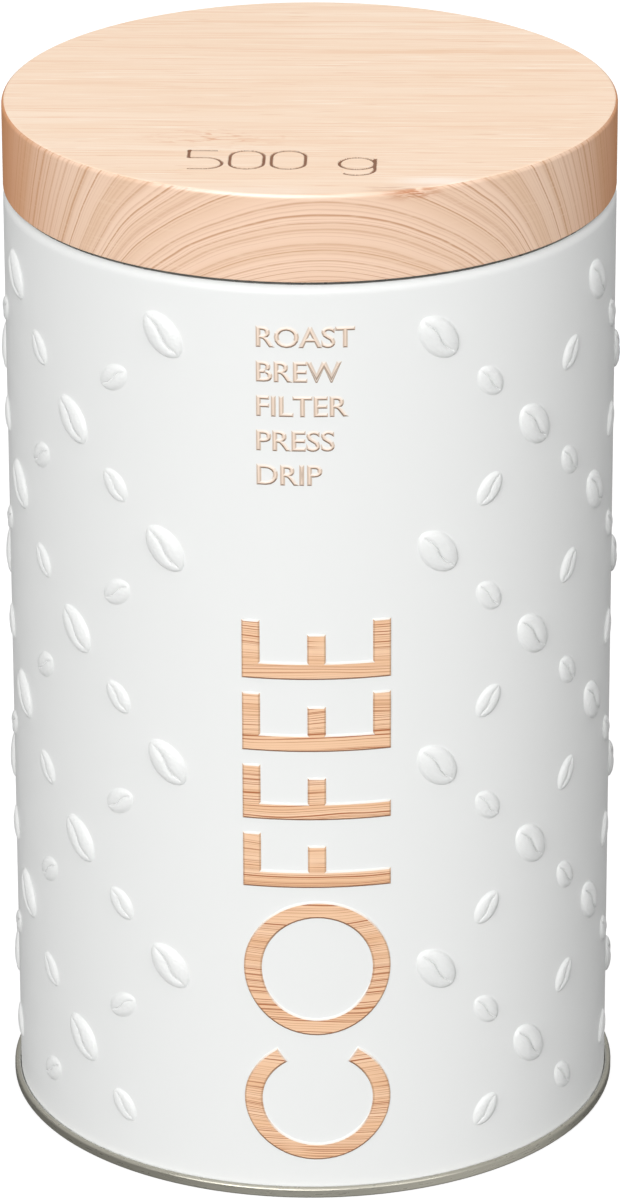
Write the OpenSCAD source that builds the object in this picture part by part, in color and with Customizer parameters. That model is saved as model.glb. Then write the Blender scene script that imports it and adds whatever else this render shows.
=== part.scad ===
// Round tinplate coffee tin with a lift-off lid.
// +Z is up and Z = 0 is the surface the tin stands on. The printed front faces -Y.

/* [Tin] */
// Outside diameter of the body wall
body_d = 108; // [96:1:120]
// Height over the closed lid
total_h = 188.5; // [170:0.5:210]
// Thickness of the tinplate
sheet = 0.3; // [0.25:0.01:0.32]

/* [Base ring] */
// Height of the rolled ring round the base
ring_h = 2.0; // [2.0:0.1:2.8]
// Room left between the folded layers of the ring
layer_gap = 0.1; // [0.08:0.01:0.12]
// Rounding of the ring's foot
foot_round = 0.5; // [0.45:0.05:0.6]
// Height of the base panel above the surface
base_rise = 3.3; // [3.2:0.1:3.8]
// Distance from the wall in to the outermost stiffening bead of the base panel
bead_inset = 8; // [6:1:12]
// Distance between the two outer beads
bead_gap = 8; // [6:1:12]
// Radius of the innermost bead
inner_bead_r = 22; // [6:1:24]

/* [Shoulder and neck] */
// Radius of the turned-in shoulder under the lid
shoulder_round = 1.8; // [1.5:0.1:2]
// Distance from the wall in to the neck
neck_inset = 2.6; // [2.6:0.1:3]
// Radius of the curled rim's section
rim_round = 0.85; // [0.7:0.05:0.9]
// Length of the neck ring's band inside the wall
band_h = 10; // [6:1:20]

/* [Lid] */
// Height of the lid's side
lid_h = 15.6; // [15:0.1:18]
// Rounding of the lid's top edge
lid_round = 0.8; // [0.6:0.1:1]
// Gap between the lid's hem and the shoulder
lid_gap = 0.4; // [0.3:0.1:0.6]
// Length of the hem folded up inside the lid's side
hem_h = 2.5; // [2:0.1:4]
// Depth of the plug below the lid's top
plug_h = 12.3; // [11:0.1:12.5]
// Thickness of the sealing ring
seal_t = 1.4; // [1.2:0.1:1.6]
// Room between the plug and the neck
plug_play = 0.5; // [0.4:0.1:0.8]

/* [Lettering] */
// Height of the capitals in the word on the front
cap_h = 25.4; // [20:0.2:28]
// Width of the capitals' strokes
stroke = 2.8; // [2:0.1:3.5]
// Height of the pressed word above the wall
press = 0.35; // [0.2:0.05:0.6]
// Height of the digits on the lid
digit_h = 10; // [6:0.5:12]
// Width and depth of the digits' grooves
groove = 0.5; // [0.4:0.05:0.8]

/* [Hidden] */
$fn = 96;

fit = 0.05;                                // room between pieces that are pressed together
wall_r = body_d / 2;
wall_in = wall_r - sheet;
far = body_d;                              // longer than any cut needs

// Layers of the base ring, counted outward from the wall
layer = sheet + layer_gap;
cover_hook_r = wall_r + layer_gap;
body_hook_r = cover_hook_r + layer;
ring_r = wall_r + 3 * layer;
chuck_r = wall_in - layer_gap;             // outside of the base end's wall, which stands inside the body
curl_in = (layer + layer_gap) / 2;         // inside radius of both folds
curl_out = curl_in + sheet;
body_curl_r = wall_in + curl_out;
compound_t = 0.25;
body_curl_z = sheet + compound_t + 2 * fit + curl_out;
cover_curl_z = ring_h - curl_out;
compound_inset = 0.15;                     // from the channel's walls, so the ring clears its corners
panel_round = 0.9;
bead_radii = [wall_r - bead_inset, wall_r - bead_inset - bead_gap, inner_bead_r];
bead_bend = 1.6;                           // middle radius of the arcs that make up a bead
bead_angle = acos(0.8);
bead_side = 2 * bead_bend * sin(bead_angle);

// Shoulder and neck
lid_z = total_h - lid_h;
shoulder_z = lid_z - lid_gap;
neck_r = wall_r - neck_inset;
neck_in = neck_r - sheet;
neck_fold = 0.6;
flare_z = shoulder_z - sheet - fit;
flare_round = shoulder_round - sheet - fit;
band_r = wall_in - fit;

// Lid
lid_under = total_h - sheet;
flange_top = lid_under - fit;
seal_top = flange_top - sheet - fit;
rim_z = seal_top - seal_t - fit;
hem_fold = 0.02;                           // inside radius of the hem's fold
hem_out = hem_fold + sheet;
plug_r = neck_in - plug_play;
plug_fold = 0.5;
plug_round = 1.2;
plug_z = total_h - plug_h;
seal_in = plug_r + plug_fold + fit;
flange_r = wall_r - lid_round;             // clear of the rounding inside the lid's edge
seal_round = 0.3;

// Lettering
word_x = 2.6;                              // the word's middle, beside the front's centre line
word_z = 7.5;                              // where the word starts, reading upward
letter_gap = 3;
c_opening = 100;                           // angle that the C leaves open
f_w = 10;
e_w = 10.6;
middle_arm = (cap_h - stroke) / 2;         // height of the short arm of the E and F
short_arm = 0.77;
groove_depth = 0.12;
digit_w = 6.3;
digit_gap = 0.8;
unit_gap = 4.5;                            // between the digits and the unit
mark_x = -20;                              // left end of the mark on the lid
mark_y = -40.5;                            // its base line

// ---- Outlines shared by the pieces ----

// A strip of sheet bent through `sweep` degrees about the origin, from the angle `from`
module bend(inside, from, sweep = 90) {
    reach = 2 * (inside + sheet);
    intersection() {
        difference() {
            circle(r = inside + sheet);
            circle(r = inside);
        }
        polygon(concat([[0, 0]], [for (k = [0 : 2]) let (a = from + sweep * k / 2) reach * [cos(a), sin(a)]]));
    }
}

module upright(inner_r, z0, z1) translate([inner_r, z0]) square([sheet, z1 - z0]);

module level(r0, r1, z0) translate([r0, z0]) square([r1 - r0, sheet]);

// A rounded trough of three equal arcs, pressed down into a level panel at radius r and height z
module bead(r, z) {
    middle = z + sheet / 2;
    drop = 2 * bead_bend * (1 - cos(bead_angle));
    inside = bead_bend - sheet / 2;
    translate([r, middle - drop + bead_bend]) bend(inside, 270 - bead_angle, 2 * bead_angle);
    translate([r + bead_side, middle - bead_bend]) bend(inside, 90, bead_angle);
    translate([r - bead_side, middle - bead_bend]) bend(inside, 90 - bead_angle, bead_angle);
}

// ---- Lettering, drawn upright from the origin ----

module hoop(r, s) difference() {
    circle(r = r);
    circle(r = r - s);
}

module letter_c() {
    r = cap_h / 2;
    translate([r, r]) difference() {
        hoop(r, stroke);
        polygon([[0, 0], for (side = [-1, 1]) cap_h * [cos(c_opening / 2), side * sin(c_opening / 2)]]);
    }
}

module letter_o() translate([cap_h / 2, cap_h / 2]) hoop(cap_h / 2, stroke);

// An upright with arms at the given heights; the middle arm is the short one
module arms(w, heights) {
    square([stroke, cap_h]);
    for (y = heights) translate([0, y]) square([y == middle_arm ? w * short_arm : w, stroke]);
}

module letter_f(w) arms(w, [middle_arm, cap_h - stroke]);

module letter_e(w) arms(w, [0, middle_arm, cap_h - stroke]);

module word() {
    c_w = cap_h / 2 * (1 + cos(c_opening / 2));
    widths = [c_w, cap_h, f_w, f_w, e_w, e_w];
    function start(i) = i == 0 ? 0 : start(i - 1) + widths[i - 1] + letter_gap;
    letter_c();
    translate([start(1), 0]) letter_o();
    for (i = [2, 3]) translate([start(i), 0]) letter_f(f_w);
    for (i = [4, 5]) translate([start(i), 0]) letter_e(e_w);
}

module stadium(w, h, inset = 0) {
    r = w / 2 - inset;
    translate([inset, w / 2]) square([2 * r, h - w]);
    for (y = [w / 2, h - w / 2]) translate([w / 2, y]) circle(r = r);
}

module digit_zero() difference() {
    stadium(digit_w, digit_h);
    stadium(digit_w, digit_h, groove);
}

module digit_five() {
    bowl = digit_w / 2;
    translate([0, digit_h - groove]) square([digit_w * 0.85, groove]);
    translate([0, 2 * bowl - groove]) square([groove, digit_h - 2 * bowl + groove]);
    for (y = [0, 2 * bowl - groove]) translate([0, y]) square([bowl, groove]);
    translate([bowl, bowl]) intersection() {
        hoop(bowl, groove);
        translate([0, -bowl]) square([bowl, 2 * bowl]);
    }
}

module letter_g() {
    bowl = digit_h * 0.33;
    drop = digit_h * 0.3;
    translate([bowl, bowl]) hoop(bowl, groove);
    translate([2 * bowl - groove, bowl - drop]) square([groove, bowl + drop]);
    translate([bowl, bowl - drop]) intersection() {
        hoop(bowl, groove);
        translate([-bowl * 0.8, -bowl]) square([2 * bowl, bowl]);
    }
}

module weight_mark() {
    pitch = digit_w + digit_gap;
    digit_five();
    for (i = [1, 2]) translate([i * pitch, 0]) digit_zero();
    translate([3 * pitch + unit_gap, 0]) letter_g();
}

// ---- Canister ----

module pressed_word() intersection() {
    difference() {
        cylinder(r = wall_r + press, h = shoulder_z);
        cylinder(r = wall_r - sheet / 2, h = shoulder_z);
    }
    translate([word_x + cap_h / 2, 0, word_z]) rotate([90, -90, 0]) linear_extrude(far) word();
}

// The lap of the rolled sheet, welded down the back
module welded_lap() {
    lap_w = 1.2;
    lap_rise = 0.1;
    z0 = ring_h + 1;
    h = shoulder_z - shoulder_round - 1 - z0;
    intersection() {
        translate([0, 0, z0]) difference() {
            cylinder(r = wall_r + lap_rise, h = h);
            translate([0, 0, -1]) cylinder(r = wall_r - sheet / 2, h = h + 2);
        }
        translate([-lap_w / 2, 0, 0]) cube([lap_w, far, total_h]);
    }
}

module body_shell() color("white") {
    rotate_extrude() {
        upright(wall_in, body_curl_z, shoulder_z - shoulder_round);
        translate([body_curl_r, body_curl_z]) bend(curl_in, 180, 180);
        upright(body_hook_r, body_curl_z, cover_curl_z + curl_in / 2);
        translate([wall_r - shoulder_round, shoulder_z - shoulder_round]) bend(shoulder_round - sheet, 0);
        level(neck_r + neck_fold, wall_r - shoulder_round, shoulder_z - sheet);
    }
    pressed_word();
    welded_lap();
}

module neck_ring() color("silver") rotate_extrude() {
    rim_r = neck_in + rim_round;
    translate([rim_r, rim_z - rim_round]) {
        bend(rim_round - sheet, 0, 180);
        bend(rim_round - sheet, 270, 90);
    }
    upright(neck_in, flare_z + neck_fold, rim_z - rim_round);
    translate([neck_r + neck_fold, flare_z + neck_fold]) bend(neck_fold, 180);
    level(neck_r + neck_fold, band_r - flare_round, flare_z - sheet);
    translate([band_r - flare_round, flare_z - flare_round]) bend(flare_round - sheet, 0);
    upright(band_r - sheet, flare_z - flare_round - band_h, flare_z - flare_round);
}

module base_end() color("gainsboro") rotate_extrude() {
    inner_r = chuck_r - sheet;
    ends = concat([chuck_r - panel_round], [for (r = bead_radii) r - bead_side]);
    starts = concat([for (r = bead_radii) r + bead_side], [0]);
    translate([(cover_hook_r + ring_r) / 2, cover_curl_z]) bend(curl_in, 0, 180);
    upright(cover_hook_r, body_curl_z - curl_in / 2, cover_curl_z);
    upright(ring_r - sheet, foot_round, cover_curl_z);
    translate([ring_r - foot_round, foot_round]) bend(foot_round - sheet, 270);
    level(inner_r + foot_round, ring_r - foot_round, 0);
    translate([inner_r + foot_round, foot_round]) bend(foot_round - sheet, 180);
    upright(inner_r, foot_round, base_rise + sheet - panel_round);
    translate([chuck_r - panel_round, base_rise + sheet - panel_round]) bend(panel_round - sheet, 0);
    for (i = [0 : len(ends) - 1]) level(starts[i], ends[i], base_rise);
    for (r = bead_radii) bead(r, base_rise);
}

module seam_compound() color("dimgray") rotate_extrude()
    translate([chuck_r + compound_inset, sheet + fit])
        square([ring_r - sheet - chuck_r - 2 * compound_inset, compound_t]);

// ---- Lid ----

module lid_shell() color("burlywood") difference() {
    rotate_extrude() {
        level(0, wall_r - lid_round, lid_under);
        translate([wall_r - lid_round, total_h - lid_round]) bend(lid_round - sheet, 0);
        upright(wall_in, lid_z + hem_out, total_h - lid_round);
        translate([wall_r - hem_out, lid_z + hem_out]) bend(hem_fold, 180, 180);
        upright(wall_r - 2 * hem_out, lid_z + hem_out, lid_z + hem_out + hem_h);
    }
    translate([mark_x, mark_y, total_h - groove_depth]) linear_extrude(1) weight_mark();
}

module lid_plug() color("silver") rotate_extrude() {
    level(plug_r + plug_fold, flange_r, flange_top - sheet);
    translate([plug_r + plug_fold, flange_top - sheet - plug_fold]) bend(plug_fold, 90);
    upright(plug_r - sheet, plug_z + plug_round, flange_top - sheet - plug_fold);
    translate([plug_r - plug_round, plug_z + plug_round]) bend(plug_round - sheet, 270);
    level(0, plug_r - plug_round, plug_z);
}

module lid_seal() color("whitesmoke") rotate_extrude() translate([seal_in, seal_top - seal_t]) {
    w = flange_r - seal_in;
    translate([seal_round, 0]) square([w - 2 * seal_round, seal_t]);
    translate([0, seal_round]) square([w, seal_t - 2 * seal_round]);
    for (x = [seal_round, w - seal_round], z = [seal_round, seal_t - seal_round])
        translate([x, z]) circle(r = seal_round);
}

body_shell();
neck_ring();
base_end();
seam_compound();
lid_shell();
lid_plug();
lid_seal();
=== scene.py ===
"""Looks of a round coffee tin: a white pressed wall, a wood-print lid, a bare base ring and the inner pieces.

Shapes are worked out in millimetres and turned into metres when a mesh is made. On the wall, `s` is the
distance round it from the middle of the front, which faces -Y, and `z` is the height.
"""
import math

import bpy
import numpy as np
from mathutils import Matrix, Vector
from mathutils.geometry import delaunay_2d_cdt
from mathutils.kdtree import KDTree


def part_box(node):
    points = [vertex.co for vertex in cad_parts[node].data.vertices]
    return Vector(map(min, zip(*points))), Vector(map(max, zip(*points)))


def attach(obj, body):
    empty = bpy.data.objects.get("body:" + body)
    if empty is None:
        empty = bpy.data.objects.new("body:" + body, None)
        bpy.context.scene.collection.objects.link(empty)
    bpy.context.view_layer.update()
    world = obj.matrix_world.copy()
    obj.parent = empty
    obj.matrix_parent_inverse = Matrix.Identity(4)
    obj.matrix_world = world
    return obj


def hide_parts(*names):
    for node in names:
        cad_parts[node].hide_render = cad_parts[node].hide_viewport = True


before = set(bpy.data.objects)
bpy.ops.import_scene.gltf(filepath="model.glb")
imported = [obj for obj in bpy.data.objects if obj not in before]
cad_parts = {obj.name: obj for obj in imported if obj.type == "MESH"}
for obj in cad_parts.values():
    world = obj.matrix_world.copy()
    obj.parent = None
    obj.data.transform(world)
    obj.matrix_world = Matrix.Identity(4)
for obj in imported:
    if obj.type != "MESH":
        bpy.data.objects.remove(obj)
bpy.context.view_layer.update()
scene = bpy.context.scene

# ---- sizes, in millimetres

MM = 0.001
SHEET = 0.3  # tinplate
HALF = SHEET / 2
TURNS = 144  # columns round every turned piece


def extent(node):
    """Outer radius, lowest level and highest level of a round CAD node."""
    low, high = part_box(node)
    return tuple(round(value / MM, 2) for value in (high.x, low.z, high.z))


WALL_R, LID_LOW, LID_TOP = extent("lid_shell")  # the lid is flush with the wall
_, CURL_LOW, SHOULDER = extent("body_shell")
RING_R, _, _ = extent("base_end")
_, BAND_LOW, RIM_TOP = extent("neck_ring")
_, PLUG_LOW, FLANGE_TOP = extent("lid_plug")
SEAL_R, SEAL_LOW, SEAL_TOP = extent("lid_seal")

ROUND = 2 * math.pi * WALL_R  # once round the wall
LAYER = (RING_R - WALL_R) / 3  # sheet and gap of one fold in the base ring
FIT = 0.05  # gap between pieces that touch
RING_H = 2.0  # height of the base ring
FOOT_ROUND = 0.5
PANEL = 3.3  # underside of the base panel
PANEL_ROUND = 0.9
BEADS = (22, 38, 46)  # radii of the troughs pressed into the base panel
BEAD_HALF = 1.92  # half a trough's width
BEAD_DEPTH = 0.64
BEAD_STEPS = 6  # parts of half a trough
SHOULDER_ROUND = 1.8
LID_ROUND = 0.8
NECK_R = WALL_R - 2.6
NECK_FOLD = 0.6
RIM_ROUND = 0.85
HEM_FOLD = 0.02  # half the gap inside the lid's hem
HEM_H = 2.5
PLUG_R = NECK_R - SHEET - 0.5
PLUG_ROUND = 1.2
PLUG_FOLD = 0.5
SEAL_ROUND = 0.3

# ---- outlines


def rounded(corners, steps=6):
    """A polyline through (x, y, radius) corners, each rounded by an arc of its radius."""
    points = []
    for i, (x, y, radius) in enumerate(corners):
        here = np.array([x, y], float)
        if radius == 0 or i in (0, len(corners) - 1):
            points.append(here)
            continue
        back = np.array(corners[i - 1][:2]) - here
        ahead = np.array(corners[i + 1][:2]) - here
        back /= np.linalg.norm(back)
        ahead /= np.linalg.norm(ahead)
        between = math.acos(float(np.clip(back @ ahead, -1, 1)))
        turn = math.pi - between
        centre = here + (back + ahead) / np.linalg.norm(back + ahead) * radius / math.sin(between / 2)
        start = here + back * radius / math.tan(between / 2) - centre
        side = math.copysign(1, back[1] * ahead[0] - back[0] * ahead[1])
        count = max(2, round(steps * turn / (math.pi / 2)))
        for k in range(count + 1):
            c, s = math.cos(side * turn * k / count), math.sin(side * turn * k / count)
            points.append(centre + (c * start[0] - s * start[1], s * start[0] + c * start[1]))
    kept = [points[0]]
    kept += [p for q, p in zip(points, points[1:]) if np.linalg.norm(p - q) > 1e-6]
    return np.array(kept)


def beside(path, distance, closed=False):
    """The polyline moved to its right by a distance, with mitred corners."""
    path = np.asarray(path, float)
    ahead = np.roll(path, -1, axis=0) - path
    back = path - np.roll(path, 1, axis=0)
    if not closed:
        ahead[-1], back[0] = back[-1], ahead[0]
    sides = []
    for step in (back, ahead):
        step = step / np.linalg.norm(step, axis=1)[:, None]
        sides.append(np.stack([step[:, 1], -step[:, 0]], axis=1))
    shared = 1 + (sides[0] * sides[1]).sum(axis=1)
    return path + distance * (sides[0] + sides[1]) / shared[:, None]


def subdivided(loop, longest):
    """The closed loop with extra points, so that no side is longer than `longest`."""
    points = []
    for a, b in zip(loop, np.roll(loop, -1, axis=0)):
        count = max(1, math.ceil(np.linalg.norm(b - a) / longest))
        points += [a + (b - a) * k / count for k in range(count)]
    return np.array(points)


def arc(centre, radius, start, end, step):
    """Points along an arc, with the angles in degrees."""
    count = max(2, math.ceil(abs(math.radians(end - start)) * radius / step))
    angles = np.radians(np.linspace(start, end, count + 1))
    return np.array(centre) + radius * np.stack([np.cos(angles), np.sin(angles)], axis=1)


# ---- meshes


def wrapped(s, z, r):
    """Points at a distance s round the wall, at height z and radius r."""
    angle = np.asarray(s) / WALL_R
    return np.stack([r * np.sin(angle), -r * np.cos(angle), np.asarray(z, float)], axis=1)


COLUMNS_S = np.arange(TURNS) * ROUND / TURNS
OUTWARD = wrapped(COLUMNS_S, np.zeros(TURNS), 1)


def vertex_normals(points, face_sets):
    """Area-weighted normals, from arrays of triangles and of quads."""
    total = np.zeros_like(points)
    for corners in face_sets:
        across = points[corners[:, 2]] - points[corners[:, 0]]
        over = points[corners[:, -1]] - points[corners[:, 1]]
        np.add.at(total, corners, np.cross(across, over)[:, None, :])
    return total / np.maximum(np.linalg.norm(total, axis=1), 1e-12)[:, None]


class Mesh:
    """Gathers vertices in millimetres, faces, their material slots and a normal for each corner."""

    def __init__(self):
        self.count, self.points, self.faces, self.slots, self.normals = 0, [], [], [], []

    def add(self, points):
        self.points.append(np.asarray(points, float))
        self.count += len(points)
        return np.arange(self.count - len(points), self.count)

    def add_faces(self, corners, normals, slots=0):
        self.faces += corners.tolist()
        self.normals.append(normals.reshape(-1, 3))
        self.slots.append(np.broadcast_to(slots, len(corners)))

    def ring(self, r, z):
        """A level ring of vertices, or one vertex on the axis."""
        if r < 1e-6:
            return self.add([(0, 0, z)])
        return self.add(OUTWARD * (r, r, 0) + (0, 0, z))

    def turned(self, outline, closed=True, slot_of=lambda k: 0, rings=None, skip=()):
        """Turns an (r, z) outline, drawn anticlockwise. Part k runs from point k to the next one."""
        rings = rings or {}
        rows = [rings[k] if k in rings else self.ring(*point) for k, point in enumerate(outline)]
        ahead = np.roll(outline, -1, axis=0) - outline
        length = np.linalg.norm(ahead, axis=1)[:, None]
        flat = np.stack([ahead[:, 1], -ahead[:, 0]], axis=1) / length
        before = np.roll(flat, 1, axis=0)
        blend = flat * length + before * np.roll(length, 1)
        blend /= np.linalg.norm(blend, axis=1)[:, None]
        smooth = (flat * before).sum(axis=1) > math.cos(math.radians(35))
        count = len(outline)
        for k in range(count if closed else count - 1):
            if k in skip:
                continue
            m = (k + 1) % count
            a, b = (np.broadcast_to(rows[i], TURNS) for i in (k, m))
            corners = np.stack([a, np.roll(a, -1), np.roll(b, -1), b], axis=1)
            ends = [blend[i] if smooth[i] else flat[k] for i in (k, m)]
            start, end = (OUTWARD * (r, r, 0) + (0, 0, z) for r, z in ends)
            normals = np.stack([start, np.roll(start, -1, axis=0), np.roll(end, -1, axis=0), end], axis=1)
            keep = [0, 1, 2, 3]
            if len(rows[k]) == 1:
                keep = [0, 2, 3]
            elif len(rows[m]) == 1:
                keep = [0, 1, 2]
            self.add_faces(corners[:, keep], normals[:, keep], slot_of(k))

    def object(self, name, materials):
        data = bpy.data.meshes.new(name)
        data.from_pydata(np.concatenate(self.points) * MM, [], self.faces)
        data.polygons.foreach_set("material_index", np.concatenate(self.slots).astype(np.int32))
        for material in materials:
            data.materials.append(material)
        data.shade_smooth()
        data.normals_split_custom_set(np.concatenate(self.normals))
        made = bpy.data.objects.new(name, data)
        scene.collection.objects.link(made)
        return made


def sheet_outline(path):
    """The section of a sheet along its middle line, anticlockwise."""
    return np.concatenate([beside(path, HALF), beside(path, -HALF)[::-1]])


# ---- lettering outlines

CAP = 25.65  # height of the word's capitals
STROKE = 2.85
C_WIDTH = 0.91  # of its height, before its opening is cut
C_OPENING = 68  # degrees
F_WIDTH, E_WIDTH = 10.0, 10.6
SHORT_ARM = 0.77  # of the letter's width
TOP_ARM, MIDDLE_ARM = CAP - STROKE, (CAP - STROKE) / 2
LETTER_GAP = 3.0
WORD_S, WORD_Z = 2.35, 7.5  # the word's middle and its start, reading upward
LOOP_STEP = 1.2  # longest side of a letter's outline

LIST_WORDS = ("ROAST", "BREW", "FILTER", "PRESS", "DRIP")
LIST_CAP = 3.75
LIST_STRETCH = 1.056  # of the letters' widths
FONT_CAP = 0.729  # a capital's height in Blender's own font, of the font's size
LIST_S, LIST_Z, LIST_PITCH = -8.1, 163.25, 6.27


def letter_c():
    r = CAP / 2
    half = C_OPENING / 2
    middle = arc((0, 0), r - STROKE / 2, half, 360 - half, LOOP_STEP) * (C_WIDTH, 1)
    outline = np.concatenate([beside(middle, STROKE / 2), beside(middle, -STROKE / 2)[::-1]])
    left, right = outline[:, 0].min(), outline[:, 0].max()
    return [outline + (-left, r)], right - left


def letter_o():
    r = CAP / 2
    outer = arc((r, r), r, 0, 360, LOOP_STEP)[:-1]
    inner = arc((r, r), r - STROKE, 360, 0, LOOP_STEP)[:-1]
    return [outer, inner], CAP


def armed_letter(width, arms):
    """An upright with arms, from the lowest to the highest: (height, length)."""
    loop = [(0, 0)]
    if arms[0][0] > 0:
        loop.append((STROKE, 0))
    for y, length in arms:
        if y > 0:
            loop.append((STROKE, y))
        loop += [(length, y), (length, y + STROKE)]
        if y + STROKE < CAP:
            loop.append((STROKE, y + STROKE))
    loop.append((0, CAP))
    return [np.array(loop, float)], width


def letter_f():
    return armed_letter(F_WIDTH, [(MIDDLE_ARM, F_WIDTH * SHORT_ARM), (TOP_ARM, F_WIDTH)])


def letter_e():
    return armed_letter(E_WIDTH, [(0, E_WIDTH), (MIDDLE_ARM, E_WIDTH * SHORT_ARM), (TOP_ARM, E_WIDTH)])


def word_loops():
    """Outlines of the word on the wall, as (s, z), turned to read upward."""
    loops, x = [], 0
    for letter in (letter_c, letter_o, letter_f, letter_f, letter_e, letter_e):
        outlines, width = letter()
        for outline in outlines:
            upright = subdivided(outline + (x, 0), LOOP_STEP)
            loops.append(np.stack([WORD_S + CAP / 2 - upright[:, 1], WORD_Z + upright[:, 0]], axis=1))
        x += width + LETTER_GAP
    return loops


def font_loops(word, cap_height, stretch):
    """Outlines of a word in Blender's own plain font, from the origin."""
    curve = bpy.data.curves.new("outline", "FONT")
    curve.body = word
    curve.resolution_u = 4
    curve.offset = 0.01  # a little bolder
    curve.size = cap_height / FONT_CAP
    text = bpy.data.objects.new("outline", curve)
    mesh = text.to_mesh()
    points = np.array([v.co[:2] for v in mesh.vertices]) * (stretch, 1)
    sides = [(a, b) for p in mesh.polygons for a, b in zip(p.vertices, [*p.vertices[1:], p.vertices[0]])]
    used = set(sides)
    after = {a: b for a, b in sides if (b, a) not in used}
    loops = []
    while after:
        start = here = next(iter(after))
        loop = []
        while here in after:
            loop.append(here)
            here = after.pop(here)
        loops.append(points[loop] if here == start else points[loop + [here]])
    text.to_mesh_clear()
    bpy.data.objects.remove(text)
    bpy.data.curves.remove(curve)
    return loops


def list_loops():
    """Outlines of the short list of words near the top of the front, as (s, z)."""
    loops = []
    for line, word in enumerate(LIST_WORDS):
        base = LIST_Z - line * LIST_PITCH - LIST_CAP / 2
        loops += [loop + (LIST_S, base) for loop in font_loops(word, LIST_CAP, LIST_STRETCH)]
    return loops


# ---- pressed beans

COLUMN_S, COLUMN_PITCH, COLUMNS = 24.35, 10.3, 14  # each side of the front
ROW_PITCH = 9.95
COLUMN_SHIFT = -0.35  # of both sides, along s
TOP_LARGE, TOP_SMALL = 161.45, 151.6
LARGE_ROWS, SMALL_ROWS = 4, 8
LARGE_STEP, SMALL_STEP = 10.15, 0.37  # how much lower the next column of that kind starts
LARGE_STAGGER = 0.5  # every second large bean of a column is this much higher
BEAN_TILT = 47.7  # degrees, falling to the right
RISING_TILT = (33, 50)  # left and right of the front
SKIRT = 0.17  # fillet round a bean's foot
FOOT_H = 0.02  # height of a bean's edge
OVAL = 0.56  # power of its outline, 0.5 for an ellipse
DOME = (2.6, 0.6)  # powers of its cross-section
CREASE_REACH, CREASE_SWING = 0.78, 0.078  # of its half length
CREASE_END, CREASE_FADE = 0.9, 0.22  # where the crease ends and how fast it fades
CREASE_PARTS = ((0.6, 0.17), (0.12, 0.6))  # (depth as part of the height, half width)
CREASE_LINES = ((0.1, 0.1), (0.24, 0.22))  # vertices beside it: (distance, most of the room there)


class Bean:
    """One pressed bean about the origin, its long axis along +u: two lobes and an S-shaped crease."""

    def __init__(self, half_length, half_width, rise, stations, fractions):
        crease_reach, crease_swing = CREASE_REACH * half_length, CREASE_SWING * half_length
        points, heights = [(-half_length, 0)], [FOOT_H]
        for i in range(1, stations):
            x = -math.cos(math.pi * i / stations)
            u = half_length * x
            edge = half_width * (1 - x * x) ** OVAL
            crease = -crease_swing * math.sin(math.pi * u / crease_reach) if abs(u) < crease_reach else 0
            fade = min(1, max(0, (CREASE_END * half_length - abs(u)) / (CREASE_FADE * half_length)))
            row = []
            for side in (-1, 1):
                reach = abs(side * edge - crease)
                near = [min(distance, part * reach) for distance, part in CREASE_LINES]
                steps = [*near, *(near[1] + (reach - near[1]) * f for f in fractions)]
                row += [(crease + side * d, d) for d in (steps if side > 0 else steps[::-1])]
                if side < 0:
                    row.append((crease, 0))
            lines = len(row)
            for v, off_crease in row:
                rho = min(1, math.sqrt(x * x + (1 - x * x) * (v / edge) ** 2))
                dome = rise * (1 - rho ** DOME[0]) ** DOME[1]
                groove = sum(part * math.exp(-((off_crease / half) ** 2)) for part, half in CREASE_PARTS)
                points.append((u, v))
                heights.append(dome * (1 - groove * fade) + FOOT_H)
        points.append((half_length, 0))
        heights.append(FOOT_H)
        last = len(points) - 1
        start = [1 + lines * i for i in range(stations - 1)]
        lower, upper = start, [a + lines - 1 for a in start]
        edge_loop = [0, *lower, last, *upper[::-1]]
        skirt = beside(np.array(points)[edge_loop], SKIRT, closed=True)
        self.skirt = np.arange(last + 1, last + 1 + len(skirt))
        self.points = np.concatenate([points, skirt])
        self.heights = np.array(heights + [0.0] * len(skirt))
        self.faces = [(0, start[0] + k, start[0] + k + 1) for k in range(lines - 1)]
        self.faces += [(last, start[-1] + k + 1, start[-1] + k) for k in range(lines - 1)]
        for a, b in zip(start, start[1:]):
            self.faces += [(a + k, b + k, b + k + 1, a + k + 1) for k in range(lines - 1)]
        for k, corner in enumerate(edge_loop):
            m = (k + 1) % len(edge_loop)
            self.faces.append((self.skirt[k], self.skirt[m], edge_loop[m], corner))

    def placed(self, s, z, tilt, mirrored):
        """Its points on the wall, for a tilt in degrees."""
        u, v = self.points[:, 0], self.points[:, 1] * (-1 if mirrored else 1)
        c, n = math.cos(math.radians(tilt)), math.sin(math.radians(tilt))
        return np.stack([s + c * u - n * v, z + n * u + c * v], axis=1)


LARGE_BEAN = Bean(4.7, 3.05, 1.0, stations=17, fractions=(0.3, 0.58, 0.8, 0.93, 1))
SMALL_BEAN = Bean(3.3, 2.2, 0.65, stations=11, fractions=(0.45, 0.82, 1))


def placed_beans():
    """Every bean with its points on the wall, in columns that run both ways from the front."""
    for side in (-1, 1):
        for column in range(COLUMNS):
            s = side * (COLUMN_S + column * COLUMN_PITCH) + COLUMN_SHIFT
            step = column % 4
            if step % 2 == 0:
                for row in range(LARGE_ROWS):
                    z = TOP_LARGE - LARGE_STEP * step - 4 * ROW_PITCH * row + LARGE_STAGGER * (row % 2)
                    yield LARGE_BEAN, LARGE_BEAN.placed(s, z, -BEAN_TILT, False)
                continue
            for row in range(SMALL_ROWS):
                rising = (row + column // 2 + (side > 0)) % 2 == 0
                z = TOP_SMALL - SMALL_STEP * (step // 3) - 2 * ROW_PITCH * row
                tilt = RISING_TILT[side > 0] if rising else -BEAN_TILT
                yield SMALL_BEAN, SMALL_BEAN.placed(s, z, tilt, rising)


# ---- pressed and printed wall

PRESS = 0.35  # height of the word's face
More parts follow.
